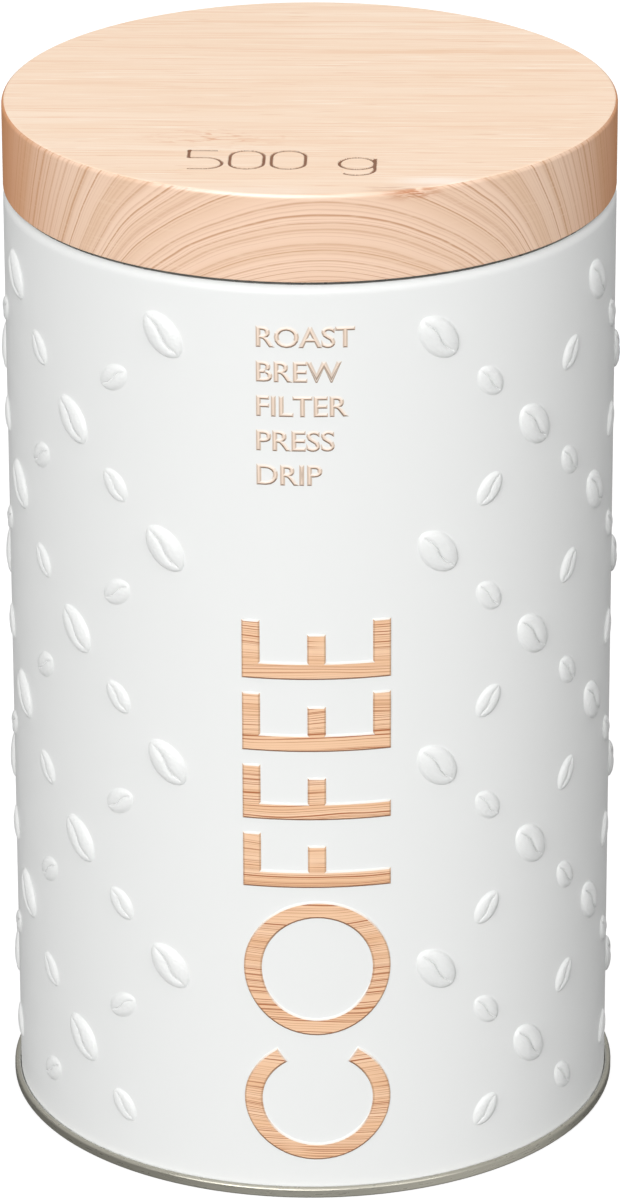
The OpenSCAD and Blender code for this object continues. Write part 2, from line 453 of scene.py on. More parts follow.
# The slopes round the letters, as (distance outside the outline, height there)
WORD_SLOPE = ((0.32, 0), (0.17, 0.18), (0.1, 0.25), (-0.14, PRESS))
LIST_SLOPE = ((0.15, 0), (-0.13, 0.17))
PRINTED = {"word": 0.18, "list": 0}  # the height from which a letter is printed
WALL_LOW, WALL_HIGH = 2.3, 170.4  # the pressed part, between the curl and the shoulder
WALL_ROWS = 48
CLEARANCE = 0.9  # room between plain vertices and an outline
WORD_CLEARANCE = 0.6 * STROKE  # the same at the word, so that none lies inside a stroke
LAP_HALF, LAP_SLOPE, LAP_RISE = 0.6, 0.15, 0.1  # the welded lap down the back
WHITE, WORD_PRINT, LIST_PRINT, BARE = range(4)  # material slots of the wall


def signed_area(loop):
    """The loop's area, positive where it runs anticlockwise."""
    ahead = np.roll(loop, -1, axis=0)
    return (loop[:, 0] * ahead[:, 1] - ahead[:, 0] * loop[:, 1]).sum() / 2


def distances(points, others):
    """How far each point is from the nearest of the others."""
    tree = KDTree(len(others))
    for i, (x, y) in enumerate(others):
        tree.insert((x, y, 0), i)
    tree.balance()
    return np.array([tree.find((x, y, 0))[2] for x, y in points])


def wall_loops(beans):
    """Outlines on the wall, their heights, and what each one encloses if that is left out or printed."""
    loops, heights, regions = [], [], []
    for bean, placed in beans:
        rim = placed[bean.skirt]
        loops.append(rim if signed_area(rim) > 0 else rim[::-1])
        heights.append(0)
        regions.append("bean")
    for outlines, slope, region in ((word_loops(), WORD_SLOPE, "word"), (list_loops(), LIST_SLOPE, "list")):
        for distance, height in slope:
            for outline in outlines:
                hole = signed_area(outline) < 0
                moved = beside(outline, distance, closed=True)
                loops.append(moved[::-1] if hole else moved)
                heights.append(height)
                kind = region + " hole" if hole else region
                regions.append(kind if height == PRINTED[region] else None)
    return loops, heights, regions


def plain_points(outlined):
    """Points on the wall for its edges, the welded lap, and a grid that keeps clear of the outlines."""
    rows = np.linspace(WALL_LOW, WALL_HIGH, WALL_ROWS)
    columns = (np.arange(TURNS + 1) - TURNS // 2) * ROUND / TURNS
    grid = np.stack(np.meshgrid(columns, rows), axis=2).reshape(-1, 2)
    lap = [ROUND / 2 - LAP_HALF, ROUND / 2 - LAP_HALF - LAP_SLOPE]
    lap_grid = [(side * s, z) for s in lap for side in (-1, 1) for z in rows[1:-1]]
    on_edge = np.arange(len(grid)) % (TURNS + 1) % TURNS == 0
    on_end = np.isin(grid[:, 1], (WALL_LOW, WALL_HIGH))
    word = np.concatenate(word_loops())
    clear = (distances(grid, outlined) > CLEARANCE) & (distances(grid, word) > WORD_CLEARANCE)
    return np.concatenate([grid[on_edge | on_end | clear], lap_grid])


def joined_at_back(flat, face_sets):
    """Merges the points at both ends of the wall. Returns which points are left, and the faces."""
    last = np.flatnonzero(np.abs(flat[:, 0] - ROUND / 2) < 1e-3)
    first = np.flatnonzero(np.abs(flat[:, 0] + ROUND / 2) < 1e-3)
    merged = np.arange(len(flat))
    merged[last[np.argsort(flat[last, 1])]] = first[np.argsort(flat[first, 1])]
    face_sets = [merged[corners] for corners in face_sets]
    used = np.unique(np.concatenate([corners.ravel() for corners in face_sets]))
    renumber = np.zeros(len(flat), int)
    renumber[used] = np.arange(len(used))
    return used, [renumber[corners] for corners in face_sets]


def wall_patch(mesh):
    """Lays the pressed wall out flat and adds both its sides. Returns their end rings."""
    beans = list(placed_beans())
    loops, heights, regions = wall_loops(beans)
    outlined = np.concatenate(loops)
    points = np.concatenate([outlined, plain_points(outlined)])
    height = np.zeros(len(points))
    height[:len(outlined)] = np.concatenate([np.full(len(loop), h) for loop, h in zip(loops, heights)])
    on_lap = np.abs(points[:, 0]) > ROUND / 2 - LAP_HALF - 1e-4
    height[on_lap & ~np.isin(points[:, 1], (WALL_LOW, WALL_HIGH))] = LAP_RISE

    starts = np.cumsum([0] + [len(loop) for loop in loops])
    sides, faces, labels = [], [], []
    for start, loop, region in zip(starts, loops, regions):
        around = [int(start + k) for k in range(len(loop))]
        if region:
            faces.append(around)
            labels.append(region)
        else:
            sides += list(zip(around, around[1:] + around[:1]))
    result = delaunay_2d_cdt([Vector(p) for p in points], sides, faces, 0, 1e-5)
    flat, triangles, sources, face_sources = result[0], result[2], result[3], result[5]
    flat = np.array([tuple(v) for v in flat])
    place = np.zeros(len(points), int)
    new_height = np.zeros(len(flat))
    for new, old in enumerate(sources):
        place[old] = new
        new_height[new] = height[old[0]] if old else 0
    triangles_kept, slots = [], []
    for corners, source in zip(triangles, face_sources):
        found = [labels[i] for i in source]
        if "bean" in found:
            continue
        slot = WHITE
        if "word" in found and "word hole" not in found:
            slot = WORD_PRINT
        elif "list" in found and "list hole" not in found:
            slot = LIST_PRINT
        triangles_kept.append(corners)
        slots.append(slot)
    triangles_kept, slots = np.array(triangles_kept), np.array(slots)
    middle = flat[triangles_kept].mean(axis=1)
    slots[np.abs(middle[:, 0]) > ROUND / 2 - ROUND / TURNS] = BARE

    flat_sets, height_sets, quads, bean_triangles = [flat], [new_height], [], []
    count = len(flat)
    for (bean, placed), start in zip(beans, starts):
        turned_over = signed_area(placed[bean.skirt]) < 0
        rim = np.arange(start, start + len(bean.skirt))[::-1 if turned_over else 1]
        own = np.empty(len(placed), int)
        own[bean.skirt] = place[rim]
        body = np.arange(len(placed) - len(bean.skirt))
        own[body] = count + body
        count += len(body)
        flat_sets.append(placed[body])
        height_sets.append(bean.heights[body])
        for face in bean.faces:
            corners = own[list(face)][::-1 if turned_over else 1]
            (quads if len(face) == 4 else bean_triangles).append(corners)
    flat, height = np.concatenate(flat_sets), np.concatenate(height_sets)
    triangle_set = np.concatenate([triangles_kept, bean_triangles])
    slots = np.concatenate([slots, np.full(len(bean_triangles), WHITE)])
    quad_set = np.array(quads)

    used, (triangle_set, quad_set) = joined_at_back(flat, (triangle_set, quad_set))
    return wall_sides(mesh, flat[used], height[used], triangle_set, quad_set, slots)


def wall_sides(mesh, flat, height, triangle_set, quad_set, slots):
    """Adds both sides. Returns the outer top, outer low, inner low and inner top rings."""
    plain = np.isclose(height, 0) | np.isclose(height, PRESS)
    radial = wrapped(flat[:, 0], np.zeros(len(flat)), 1)
    rings = []
    for inward in (0, 1):
        solid = wrapped(flat[:, 0], flat[:, 1], WALL_R + height - inward * SHEET)
        normals = vertex_normals(solid, [triangle_set, quad_set])
        normals[plain] = radial[plain]
        ids = mesh.add(solid)
        for corner_set, face_slots in ((triangle_set, slots), (quad_set, WHITE)):
            if inward:
                turned_in = corner_set[:, ::-1]
                mesh.add_faces(ids[turned_in], -normals[turned_in], BARE)
            else:
                mesh.add_faces(ids[corner_set], normals[corner_set], face_slots)
        for level in (WALL_HIGH, WALL_LOW):
            end = np.flatnonzero(np.abs(flat[:, 1] - level) < 1e-3)
            order = np.argsort(np.round(flat[end, 0] / (ROUND / TURNS)) % TURNS)
            rings.append(ids[end[order]])
    return rings[0], rings[1], rings[3], rings[2]


def make_body():
    """The wall, its turned-in shoulder and the fold that lies in the base ring."""
    middle = WALL_R - HALF
    turn_in = NECK_R + NECK_FOLD
    hook = middle + 2 * LAYER
    upper = rounded([(turn_in, SHOULDER - HALF, 0), (middle, SHOULDER - HALF, SHOULDER_ROUND - HALF),
                     (middle, WALL_HIGH, 0)])
    lower = rounded([(middle, WALL_LOW, 0), (middle, CURL_LOW + HALF, LAYER), (hook, CURL_LOW + HALF, LAYER),
                     (hook, RING_H - SHEET - HALF, 0)])
    outline = sheet_outline(np.concatenate([upper, lower]))
    mesh = Mesh()
    outer_top, outer_low, inner_low, inner_top = wall_patch(mesh)
    n, turn = len(upper), len(outline)
    rings = {n - 1: inner_top, n: inner_low, turn - n - 1: outer_low, turn - n: outer_top}
    mesh.turned(outline, slot_of=lambda k: WHITE if turn - n - 3 < k < turn - 4 else BARE, rings=rings,
                skip=(n - 1, turn - n - 1))
    return mesh.object("pressed_body", [white_coat, word_print, list_print, bare_tinplate])


# ---- turned pieces


def turned_piece(name, outline, material, closed=True):
    mesh = Mesh()
    mesh.turned(outline, closed)
    return mesh.object(name, [material])


def bead_path(panel_z):
    """Middle line of the base panel from the axis to its last bead, with a trough at each."""
    path = [(0, panel_z)]
    for r in BEADS:
        for k in range(-BEAD_STEPS, BEAD_STEPS + 1):
            x = k / BEAD_STEPS
            path.append((r + BEAD_HALF * x, panel_z - BEAD_DEPTH / 2 * (1 + math.cos(math.pi * x))))
    return path


def make_neck():
    """The neck ring: its curled rim, the neck, and the band behind the top of the wall."""
    inner = NECK_R - HALF
    curl = RIM_ROUND - HALF
    rim_top = RIM_TOP - HALF
    ledge = SHOULDER - SHEET - FIT - HALF
    band = WALL_R - SHEET - FIT - HALF
    path = rounded([(inner + curl, rim_top - 2 * curl, 0), (inner + 2 * curl, rim_top - 2 * curl, curl),
                    (inner + 2 * curl, rim_top, curl), (inner, rim_top, curl),
                    (inner, ledge, NECK_FOLD + HALF), (band, ledge, SHOULDER_ROUND - SHEET - FIT - HALF),
                    (band, BAND_LOW, 0)])
    return turned_piece("curled_neck", sheet_outline(path), bare_tinplate)


def make_base():
    """The beaded panel, and its edge that is folded round the wall's edge into the base ring."""
    chuck = WALL_R - SHEET - (LAYER - SHEET) - HALF
    outer = RING_R - HALF
    hook = outer - 2 * LAYER
    panel, ring_top = PANEL + HALF, RING_H - HALF
    rise = rounded([(BEADS[-1] + BEAD_HALF, panel, 0), (chuck, panel, PANEL_ROUND - HALF),
                    (chuck, HALF, FOOT_ROUND - HALF), (outer, HALF, FOOT_ROUND - HALF),
                    (outer, ring_top, LAYER), (hook, ring_top, LAYER), (hook, CURL_LOW + LAYER, 0)], steps=8)
    path = np.array(bead_path(panel) + list(rise[1:]))
    return turned_piece("seamed_base", sheet_outline(path), bare_tinplate, closed=False)


def make_plug():
    """The cup under the lid, with its flange out to the lid's edge."""
    wall = PLUG_R - HALF
    path = rounded([(0, PLUG_LOW + HALF, 0), (wall, PLUG_LOW + HALF, PLUG_ROUND - HALF),
                    (wall, FLANGE_TOP - HALF, PLUG_FOLD + HALF), (WALL_R - LID_ROUND, FLANGE_TOP - HALF, 0)])
    return turned_piece("drawn_plug", sheet_outline(path), bare_tinplate, closed=False)


def make_seal():
    """A soft ring. Its outline starts and ends on its underside."""
    inner, middle = PLUG_R + PLUG_FOLD + FIT, SEAL_R - 1
    outline = rounded([(middle, SEAL_LOW, 0), (SEAL_R, SEAL_LOW, SEAL_ROUND),
                       (SEAL_R, SEAL_TOP, SEAL_ROUND), (inner, SEAL_TOP, SEAL_ROUND),
                       (inner, SEAL_LOW, SEAL_ROUND), (middle - 0.1, SEAL_LOW, 0)])
    return turned_piece("sealing_ring", outline, silicone)


# ---- lid

MARK_X, MARK_Y, DIGIT_W, DIGIT_H = -20, -40.5, 6.3, 10
DIGIT_PITCH, UNIT_GAP = 7.1, 4.5
PEN = 0.5  # width of the mark's strokes
FIVE_TOP = 0.85  # top stroke of the 5, of its width
BOWL = 0.33  # outer radius of the g's bowl, of the digits' height
TAIL_DROP, TAIL_END = 3, -143  # how far its tail hangs, and its last angle
ARC_STEP, MARK_STEP = 0.25, 0.22  # spacing of points on the mark's arcs and grooves
GROOVE = ((0, -0.22), (0.18, -0.2), (0.36, 0))  # (distance from the stroke's middle, height)
SLACK = 0.03  # a groove's point may be this much nearer to another stroke than to its own
LEVEL_FROM, PRINT_HALF = 0.33, 0.3  # from a stroke's middle, where the top is level and where the print ends
TOP_GRID, TOP_REACH, MARK_CLEARANCE = np.arange(-48, 49, 6), 50, 1.5  # plain vertices of the top
HEM_PARTS, BEND_PARTS = 8, 4  # parts of the outline along the hem, and down the bend
TOP, SIDE, MARK, INSIDE = range(4)  # material slots of the lid


def stroke_lines():
    """Middle lines of the strokes of the weight mark on the lid: 500 g. A closed one ends at its start."""
    w, h, half = DIGIT_W - PEN, DIGIT_H - PEN, PEN / 2
    r = w / 2
    five = [(half + w * FIVE_TOP, half + h), (half, half + h), (half, half + w)]
    bowl = arc((half + r, half + r), r, 90, -90, ARC_STEP)
    lines = [np.array([*five, *bowl, (half, half)])]
    upper = arc((half + r, half + h - r), r, 0, 180, ARC_STEP)
    lower = arc((half + r, half + r), r, 180, 360, ARC_STEP)
    zero = np.array([*upper, *lower, upper[0]])
    lines += [zero + (i * DIGIT_PITCH, 0) for i in (1, 2)]
    start = 3 * DIGIT_PITCH + UNIT_GAP
    r = DIGIT_H * BOWL - half
    ring = arc((half + r, half + r), r, 0, 360, ARC_STEP)
    tail = arc((half + r, half + r - TAIL_DROP), r, 0, TAIL_END, ARC_STEP)
    lines += [ring + (start, 0), np.array([(half + 2 * r, half + 2 * r), *tail]) + (start, 0)]
    return [line + (MARK_X, MARK_Y) for line in lines]


def along(line, step):
    """The polyline with points about `step` apart, and its unit directions there."""
    length = np.concatenate([[0], np.cumsum(np.linalg.norm(np.diff(line, axis=0), axis=1))])
    count = max(2, round(length[-1] / step))
    at = np.linspace(0, length[-1], count + 1)
    points = np.stack([np.interp(at, length, line[:, i]) for i in (0, 1)], axis=1)
    direction = np.gradient(points, axis=0)
    return points, direction / np.linalg.norm(direction, axis=1)[:, None]


def lid_top(mesh, ring, level):
    """Adds the flat top inside a ring, with the weight mark pressed into it."""
    lines = [along(line, MARK_STEP) for line in stroke_lines()]
    strokes = np.concatenate([points for points, _ in lines])
    spots = []
    for points, direction in lines:
        across = np.stack([-direction[:, 1], direction[:, 0]], axis=1)
        for offset in [0] + [side * reach for reach, _ in GROOVE[1:] for side in (1, -1)]:
            moved = points + across * offset
            spots.append(moved[distances(moved, strokes) > abs(offset) - SLACK])
    spots = np.concatenate(spots)
    rim = OUTWARD[:, :2] * (WALL_R - LID_ROUND)
    grid = np.stack(np.meshgrid(TOP_GRID, TOP_GRID), axis=2).reshape(-1, 2)
    grid = grid[np.linalg.norm(grid, axis=1) < TOP_REACH]
    grid = grid[distances(grid, spots) > MARK_CLEARANCE]
    points = np.concatenate([rim, spots, grid])
    result = delaunay_2d_cdt([Vector(p) for p in points], [], [], 0, 1e-3)
    flat = np.array([tuple(v) for v in result[0]])
    corners = np.array(result[2])
    gap = distances(flat, strokes)
    solid = np.column_stack([flat, level + np.interp(gap, *zip(*GROOVE))])
    normals = vertex_normals(solid, [corners])
    normals[gap > LEVEL_FROM] = (0, 0, 1)
    on_rim = [new for new, old in enumerate(result[3]) if old and old[0] < TURNS]
    own = np.setdiff1d(np.arange(len(flat)), on_rim)
    ids = np.empty(len(flat), int)
    ids[own] = mesh.add(solid[own])
    ids[on_rim] = [ring[result[3][new][0]] for new in on_rim]
    marked = distances(flat[corners].mean(axis=1), strokes) < PRINT_HALF
    mesh.add_faces(ids[corners], normals[corners], np.where(marked, MARK, TOP))


def make_lid():
    """The cap: its flat top, the bend round its edge, its side and the hem inside it."""
    side, fold = WALL_R - HALF, HEM_FOLD + HALF
    inner, hem_top = side - 2 * fold, LID_LOW + (SHEET + HEM_FOLD) + HEM_H
    path = rounded([(0, LID_TOP - HALF, 0), (side, LID_TOP - HALF, LID_ROUND - HALF),
                    (side, LID_LOW + HALF, fold), (inner, LID_LOW + HALF, fold), (inner, hem_top, 0)])
    outline = sheet_outline(path)
    bend_end = next(k for k, (r, z) in enumerate(path[1:], 1) if z < LID_TOP - LID_ROUND + 0.01)
    mesh = Mesh()
    ring = mesh.ring(WALL_R - LID_ROUND, LID_TOP)
    last = len(outline) - 1

    def slot_of(k):
        if k < len(path) + HEM_PARTS:
            return INSIDE
        return TOP if k >= last - bend_end + BEND_PARTS else SIDE

    mesh.turned(outline, closed=False, slot_of=slot_of, rings={last: ring, last - 1: ring}, skip=(last - 1,))
    lid_top(mesh, ring, LID_TOP)
    return mesh.object("printed_lid", [wood_top, wood_side, mark_print, bare_tinplate])


# ---- materials


def rgb(red, green, blue):
    """A display colour, each part 11 to 255, as linear values."""
    return tuple(((part / 255 + 0.055) / 1.055) ** 2.4 for part in (red, green, blue)) + (1,)


# Patches in the lid's print, and one painted highlight, as (centre, half lengths)
EDGE_MARK = ((19, -50.5, LID_TOP - 0.6), (13, 3, 1.7))  # dark streaks on the front edge
PALE_MARK = ((23, -46, LID_TOP), (11, 3.5, 3))  # the pale patch behind them
# painted highlight: a thin pale line painted along the lid's front edge
PAINTED_EDGE_HIGHLIGHT = ((-9, 0.25 - WALL_R, LID_TOP - 0.25), (32, 9, 0.4))  # a thin pale line along that edge
FLECKS = ((-15, -24, LID_TOP), (17, 7, 9))  # flecks on the top
# Lines in the wood on the lid's side: how many to a ring, the tones where they begin to show and are full,
# where in the ring a line starts, and its strength
SIDE_LINES = ((1, 0.36, 0.58, 0.68, 0.8), (2.63, 0.3, 0.6, 0.45, 0.35))
# Lines in the word's wood: length of their noise, its levels where they begin to show and are full, and the
# same two levels of the patches they lie in
WORD_LINES = ((0.42, 0.55, 0.63, 0.15, 0.5), (0.19, 0.53, 0.62, 0.2, 0.48))


def add_node(tree, kind, inputs, settings):
    """A new shader node with its properties set, and its first inputs linked or given values."""
    made = tree.nodes.new("ShaderNode" + kind)
    for key, value in settings.items():
        setattr(made, key, value)
    for socket, value in zip(made.inputs, inputs):
        if isinstance(value, bpy.types.NodeSocket):
            tree.links.new(value, socket)
        elif value is not None:
            socket.default_value = value
    return made


class Shader:
    """A material with one Principled shader, and short ways to add nodes to it."""

    def __init__(self, name, **values):
        self.material = bpy.data.materials.new(name)
        self.material.use_nodes = True
        self.tree = self.material.node_tree
        self.surface = self.tree.nodes["Principled BSDF"]
        for socket, value in values.items():
            self.surface.inputs[socket.replace("_", " ").title().replace("Ior", "IOR")].default_value = value

    def node(self, kind, *inputs, **settings):
        return add_node(self.tree, kind, inputs, settings)

    def math(self, operation, *inputs):
        return self.node("Math", *inputs, operation=operation).outputs[0]

    def times(self, first, second):
        return self.math("MULTIPLY", first, second)

    def vector(self, operation, *inputs):
        """A vector operation's result, from the second socket where it is a number."""
        number = operation in ("LENGTH", "DOT_PRODUCT")
        return self.node("VectorMath", *inputs, operation=operation).outputs[int(number)]

    def place(self):
        """Object coordinates in millimetres."""
        coordinates = self.node("TexCoord").outputs["Object"]
        return self.vector("MULTIPLY", coordinates, (1 / MM,) * 3)

    def flattened(self, place):
        return self.vector("MULTIPLY", place, (1, 1, 0))

    def radius(self, place):
        """Distance from the tin's axis."""
        return self.vector("LENGTH", self.flattened(place))

    def noise(self, place, lengths, detail=2, distortion=0.0, roughness=0.5):
        """Noise with features about as long as `lengths`, in millimetres."""
        made = self.node("TexNoise", self.vector("MULTIPLY", place, tuple(1 / n for n in lengths)))
        settings = {"Scale": 1, "Detail": detail, "Distortion": distortion, "Roughness": roughness}
        for name, value in settings.items():
            made.inputs[name].default_value = value
        return made.outputs["Fac"]

    def ramp(self, value, *stops):
        """A colour ramp through (position, colour) stops."""
        made = self.node("ValToRGB", value)
        elements = made.color_ramp.elements
        for i, (position, colour) in enumerate(stops):
            element = elements[i] if i < 2 else elements.new(position)
            element.position, element.color = position, colour
        return made.outputs[0]

    def level(self, value, low, high):
        """0 before `low`, 1 past `high`, with a smooth rise between. `low` may be the greater."""
        return self.node("MapRange", value, low, high, interpolation_type="SMOOTHSTEP").outputs[0]

    def spot(self, place, centre, lengths):
        """1 at a centre, fading to 0 at the edge of an ellipsoid with these half lengths."""
        scaled = self.vector("DIVIDE", self.vector("SUBTRACT", place, centre), lengths)
        return self.level(self.vector("LENGTH", scaled), 1.0, 0.0)

    def edge_streaks_and_highlight(self, place, colour):
        """The dark streaks in the wood print over the lid's front edge, and a painted highlight: a thin pale
        line along that edge.
        """
        streaks = self.level(self.noise(place, (7, 1.2, 0.4), detail=2, distortion=0.3), 0.42, 0.56)
        # painted highlight: a pale line along the lid's front edge
        colour = self.blend(self.times(self.spot(place, *PAINTED_EDGE_HIGHLIGHT), 0.75), colour, rgb(255, 248, 240))
        return self.blend(self.times(streaks, self.spot(place, *EDGE_MARK)), colour, rgb(194, 136, 100))

    def blend(self, amount, under, over):
        """From one colour to another. The inputs between the amount and them are for other types."""
        return self.node("Mix", amount, *[None] * 5, under, over, data_type="RGBA").outputs[2]

    def connect(self, output, name):
        self.tree.links.new(output, self.surface.inputs[name])

    def uneven(self, place, lengths, low, high):
        """Roughness that varies with a noise."""
        varied = self.node("MapRange", self.noise(place, lengths), 0.3, 0.7, low, high)
        self.connect(varied.outputs[0], "Roughness")

    def edge_shade_and_highlight(self, colour, dark):
        """A letter's colour, with painted shade on its edges, most where they face down, and a painted
        highlight where they face up.
        """
        normal = self.node("NewGeometry").outputs["True Normal"]
        upward = self.node("SeparateXYZ", normal).outputs[2]
        facing = self.vector("DOT_PRODUCT", normal, self.vector("NORMALIZE", self.flattened(self.place())))
        # painted shade: edges darker where they turn away from the wall, and darker again where they face
        # down
        colour = self.blend(self.times(self.level(facing, 0.99, 0.93), 0.35), colour, dark)
        colour = self.blend(self.level(upward, -0.12, -0.34), colour, dark)
        # painted highlight: edges that face up are made paler
        colour = self.blend(self.level(upward, 0.12, 0.34), colour, rgb(235, 229, 222))
        self.connect(colour, "Base Color")

    def bump(self, height, strength, distance):
        self.connect(self.node("Bump", strength, distance, None, height).outputs[0], "Normal")


def make_white_coat():
    """White varnish: nearly smooth on the wall, finely pebbled on the beans."""
    shader = Shader("white_coat", base_color=rgb(228, 229, 228), diffuse_roughness=0.4)
    place = shader.place()
    shader.uneven(place, (4, 4, 4), 0.36, 0.44)
    raised = shader.level(shader.radius(place), WALL_R + 0.1, WALL_R + 0.5)
    pebbles = shader.times(shader.noise(place, (0.55, 0.55, 0.55), detail=1), raised)
    smooth = shader.times(shader.noise(place, (0.9, 0.9, 0.9), detail=1), 0.06)
    shader.bump(shader.math("ADD", pebbles, smooth), 0.5, 0.0002)
    return shader.material


def make_wood_top():
    """Wood whose grain runs across the front."""
    shader = Shader("wood_top", roughness=0.5, specular_ior_level=0.3)
    place = shader.place()
    bands = shader.noise(place, (90, 5.5, 90), detail=3)
    colour = shader.ramp(bands, (0.3, rgb(250, 226, 203)), (0.48, rgb(246, 217, 190)),
                         (0.6, rgb(248, 221, 196)), (0.75, rgb(240, 204, 172)))
    fine = shader.noise(place, (34, 0.5, 34), detail=3, roughness=0.6)
    colour = shader.blend(shader.level(fine, 0.5, 0.7), colour, rgb(239, 201, 169))
    light = shader.noise(place, (14, 0.4, 14), detail=2)
    colour = shader.blend(shader.level(light, 0.56, 0.8), colour, rgb(255, 238, 220))
    dash = shader.noise(place, (9, 0.5, 9), detail=1)
    colour = shader.blend(shader.times(shader.level(dash, 0.68, 0.76), 0.45), colour, rgb(216, 160, 116))
    fleck = shader.level(shader.noise(place, (3.5, 0.9, 3), distortion=0.6), 0.53, 0.62)
    fleck = shader.times(shader.times(fleck, shader.spot(place, *FLECKS)), 0.8)
    colour = shader.blend(fleck, colour, rgb(224, 168, 128))
    colour = shader.blend(shader.times(shader.spot(place, *PALE_MARK), 0.8), colour, rgb(255, 242, 230))
    shader.connect(shader.edge_streaks_and_highlight(place, colour), "Base Color")
    shader.bump(fine, 0.06, 0.0002)
    return shader.material


def make_wood_side():
    """Wood with rings that arch over the middle of the front, and again over the back, with painted shade
    that darkens it towards its left and right.
    """
    shader = Shader("wood_side", roughness=0.5, specular_ior_level=0.3, diffuse_roughness=0.4)
    place = shader.place()
    middle, steeper_from, arch, steeper = 3, 32, 0.0135, 0.028
    ring_base, ring_spread, ring_count = LID_LOW - 1, 11, 14.6
    x, y, z = shader.node("SeparateXYZ", place).outputs
    s = shader.times(shader.math("ARCTAN2", x, shader.times(y, -1)), WALL_R)
    s = shader.math("PINGPONG", shader.math("SUBTRACT", s, middle), ROUND / 4)
    beyond = shader.math("MAXIMUM", shader.math("SUBTRACT", s, steeper_from), 0)
    curve = shader.math("ADD", shader.times(shader.math("POWER", s, 2), arch),
                        shader.times(shader.math("POWER", beyond, 2), steeper))
    waver = shader.math("SUBTRACT", shader.noise(place, (24, 24, 8)), 0.5)
    contour = shader.math("ADD", shader.math("ADD", z, curve), waver)
    inner = shader.math("DIVIDE", shader.math("SUBTRACT", contour, ring_base), ring_spread)
    rings = shader.times(shader.math("LOGARITHM", shader.math("ADD", inner, 1), math.e), ring_count)
    along_rings = shader.node("CombineXYZ", rings, 0.0, 0.0).outputs[0]
    tone = shader.noise(along_rings, (1.3, 1, 1), detail=1)
    broad = shader.noise(along_rings, (3.1, 1, 1), detail=1)
    rings = shader.math("ADD", rings, shader.times(broad, 2.4))
    colour = shader.ramp(broad, (0.35, rgb(224, 192, 165)), (0.55, rgb(233, 204, 181)))
    for per_ring, clear, full, start, strength in SIDE_LINES:
        line = shader.math("FRACT", shader.times(rings, per_ring))
        thin = shader.times(shader.level(line, start, 0.92), shader.level(line, 1.0, 0.93))
        dark = shader.times(shader.times(thin, shader.level(tone, clear, full)), strength)
        colour = shader.blend(dark, colour, rgb(188, 140, 103))
    fine = shader.level(shader.noise(place, (5, 5, 0.35), detail=3), 0.5, 0.75)
    colour = shader.blend(shader.times(fine, 0.45), colour, rgb(231, 204, 179))
    # painted shade: darker and more orange a quarter turn round from the front and the back
    colour = shader.blend(shader.times(shader.level(s, 42, 80), 0.85), colour, rgb(200, 134, 83))
    shader.connect(shader.edge_streaks_and_highlight(place, colour), "Base Color")
    return shader.material


def make_word_print():
    """Wood grain whose lines run level round the wall, with a few swirls."""
    shader = Shader("wood_word", roughness=0.45, diffuse_roughness=0.4)
    place = shader.place()
    _, _, z = shader.node("SeparateXYZ", place).outputs
    swirl = shader.times(shader.noise(place, (26, 26, 16), detail=2, roughness=0.35), 3.8)
    contour = shader.node("CombineXYZ", shader.math("ADD", z, swirl), 0.0, 0.0).outputs[0]
    broad = shader.noise(contour, (2.8, 1, 1), detail=1)
    colour = shader.ramp(broad, (0.3, rgb(238, 206, 175)), (0.5, rgb(234, 197, 162)),
                         (0.7, rgb(228, 186, 147)))
    patch = shader.noise(place, (13, 13, 9), detail=1)
    for length, low, high, weak, strong in WORD_LINES:
        line = shader.level(shader.noise(contour, (length, 1, 1), detail=1), low, high)
        amount = shader.times(line, shader.level(patch, weak, strong))
        colour = shader.blend(amount, colour, rgb(172, 103, 60))
    # painted shade on the letters' edges, and a painted highlight where they face up
    shader.edge_shade_and_highlight(colour, rgb(140, 100, 72))
    return shader.material


def make_list_print():
    shader = Shader("pale_print", roughness=0.45, diffuse_roughness=0.4)
    # painted shade on the letters' edges, and a painted highlight where they face up
    shader.edge_shade_and_highlight(rgb(230, 211, 194), rgb(132, 110, 92))
    return shader.material


def make_tinplate():
    """Bare metal, a little darker on the base ring."""
    shader = Shader("bare_tinplate", metallic=0.7)
    place = shader.place()
    on_ring = shader.level(shader.radius(place), WALL_R + 0.3, WALL_R + 0.6)
    shader.connect(shader.blend(on_ring, rgb(206, 205, 198), rgb(180, 177, 164)), "Base Color")
    shader.uneven(place, (3, 3, 0.4), 0.24, 0.38)
    return shader.material


white_coat = make_white_coat()
wood_top = make_wood_top()
wood_side = make_wood_side()
word_print = make_word_print()
list_print = make_list_print()
mark_print = Shader("dark_mark", base_color=rgb(138, 96, 70), roughness=0.7).material
bare_tinplate = make_tinplate()
silicone = Shader("silicone", base_color=rgb(225, 226, 224), roughness=0.6).material
compound = Shader("compound", base_color=rgb(70, 70, 68), roughness=0.8).material

# ---- the pieces

pieces = (
    (make_body, "body_shell", "canister", "white_coat"),
    (make_neck, "neck_ring", "canister", "bare_tinplate"),
    (make_base, "base_end", "canister", "bare_tinplate"),
    (make_lid, "lid_shell", "lid", "wood_print"),
    (make_plug, "lid_plug", "lid", "bare_tinplate"),
    (make_seal, "lid_seal", "lid", "silicone"),
)
for make, node, body, slot in pieces:
    piece = make()
    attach(piece, body)
    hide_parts(node)
hidden_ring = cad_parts["seam_compound"]
hidden_ring.data.materials.clear()
hidden_ring.data.materials.append(compound)

# ---- camera, light and background

CAMERA_PLACE = (0.0316, -1.1397, 0.5657)  # metres, as are the next two
FLOOR_HALF = 3
LIGHTS_AIM = Vector((0, 0, 0.1))
CAMERA_TURNS = ((1.6, "Z"), (67.465, "X"), (-0.2, "Z"))  # degrees
FOCAL, SENSOR = 205.15, 36  # millimetres
SOFT_LIGHT = (0.1, 0.46)  # from low down and from high up
SKY_GLOSS = (0.1, 0.6)
GROUND_GLOSS, WALL_GLOSS = 0.72, 0.6


